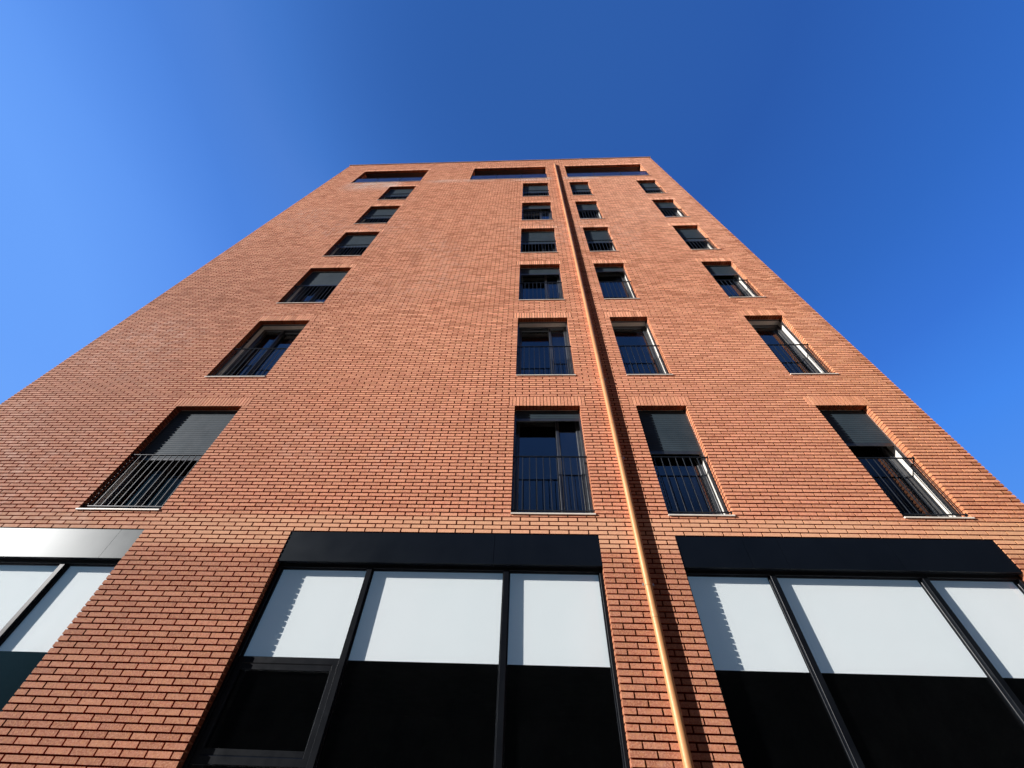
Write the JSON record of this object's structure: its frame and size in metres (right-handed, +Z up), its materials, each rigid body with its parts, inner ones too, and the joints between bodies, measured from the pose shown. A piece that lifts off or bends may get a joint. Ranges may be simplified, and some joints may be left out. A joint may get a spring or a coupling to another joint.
{
  "type": "apartment block",
  "caption": "Brick apartment block with shop bays at street level, storeys of tall windows behind low railings, loggias under the parapet and a copper rainwater pipe.",
  "frame": {"origin": "middle of the footprint on the ground", "axes": "+Z up, the street front faces -Y, +X to the right seen from the street"},
  "size_m": [17.08, 12.1439, 27],
  "materials": {
    "brick": "matte",
    "concrete": "matte",
    "dark_metal": "satin",
    "fascia_metal": "gloss",
    "window_glass": "gloss",
    "balustrade_glass": "gloss",
    "shutter_metal": "satin",
    "sill_metal": "satin",
    "coping_metal": "satin",
    "copper": "satin",
    "blind_fabric": "matte",
    "ceiling_panel": "matte"
  },
  "bodies": {
    "root": {"ground_slab": "concrete", "front_shop_piers": "brick", "shop_plinths": "brick", "front_lower_band": "brick", "front_window_piers": "brick", "front_spandrels": "brick", "front_upper_band": "brick", "front_loggia_piers": "brick", "front_loggia_band": "brick", "front_parapet": "brick", "side_wall_piers": "brick", "side_wall_spandrels": "brick", "back_wall_piers": "brick", "back_wall_spandrels": "brick", "floor_slabs": "concrete", "roof_slab": "concrete", "loggia_cheeks": "brick", "loggia_ceilings": "ceiling_panel", "loggia_glazing": "window_glass", "loggia_railings": "dark_metal", "loggia_balustrade_glass": "balustrade_glass", "window_sills": "sill_metal", "window_frames": "dark_metal", "window_glass": "window_glass", "roller_shutters": "shutter_metal", "railings_storey_1": "dark_metal", "railings_storey_2": "dark_metal", "railings_storey_3": "dark_metal", "railings_storey_4": "dark_metal", "railings_storey_5": "dark_metal", "railings_storey_6": "dark_metal", "side_and_rear_glass": "window_glass", "side_and_rear_sills": "sill_metal", "downpipe": "copper", "pipe_brackets": "copper", "shop_fascias": "fascia_metal", "shop_posts": "dark_metal", "shop_rails": "dark_metal", "shop_opening_light": "dark_metal", "shop_glass": "window_glass", "shop_blinds": "blind_fabric", "parapet_coping": "coping_metal", "side_copings": "coping_metal"}
  },
  "joints": []
}
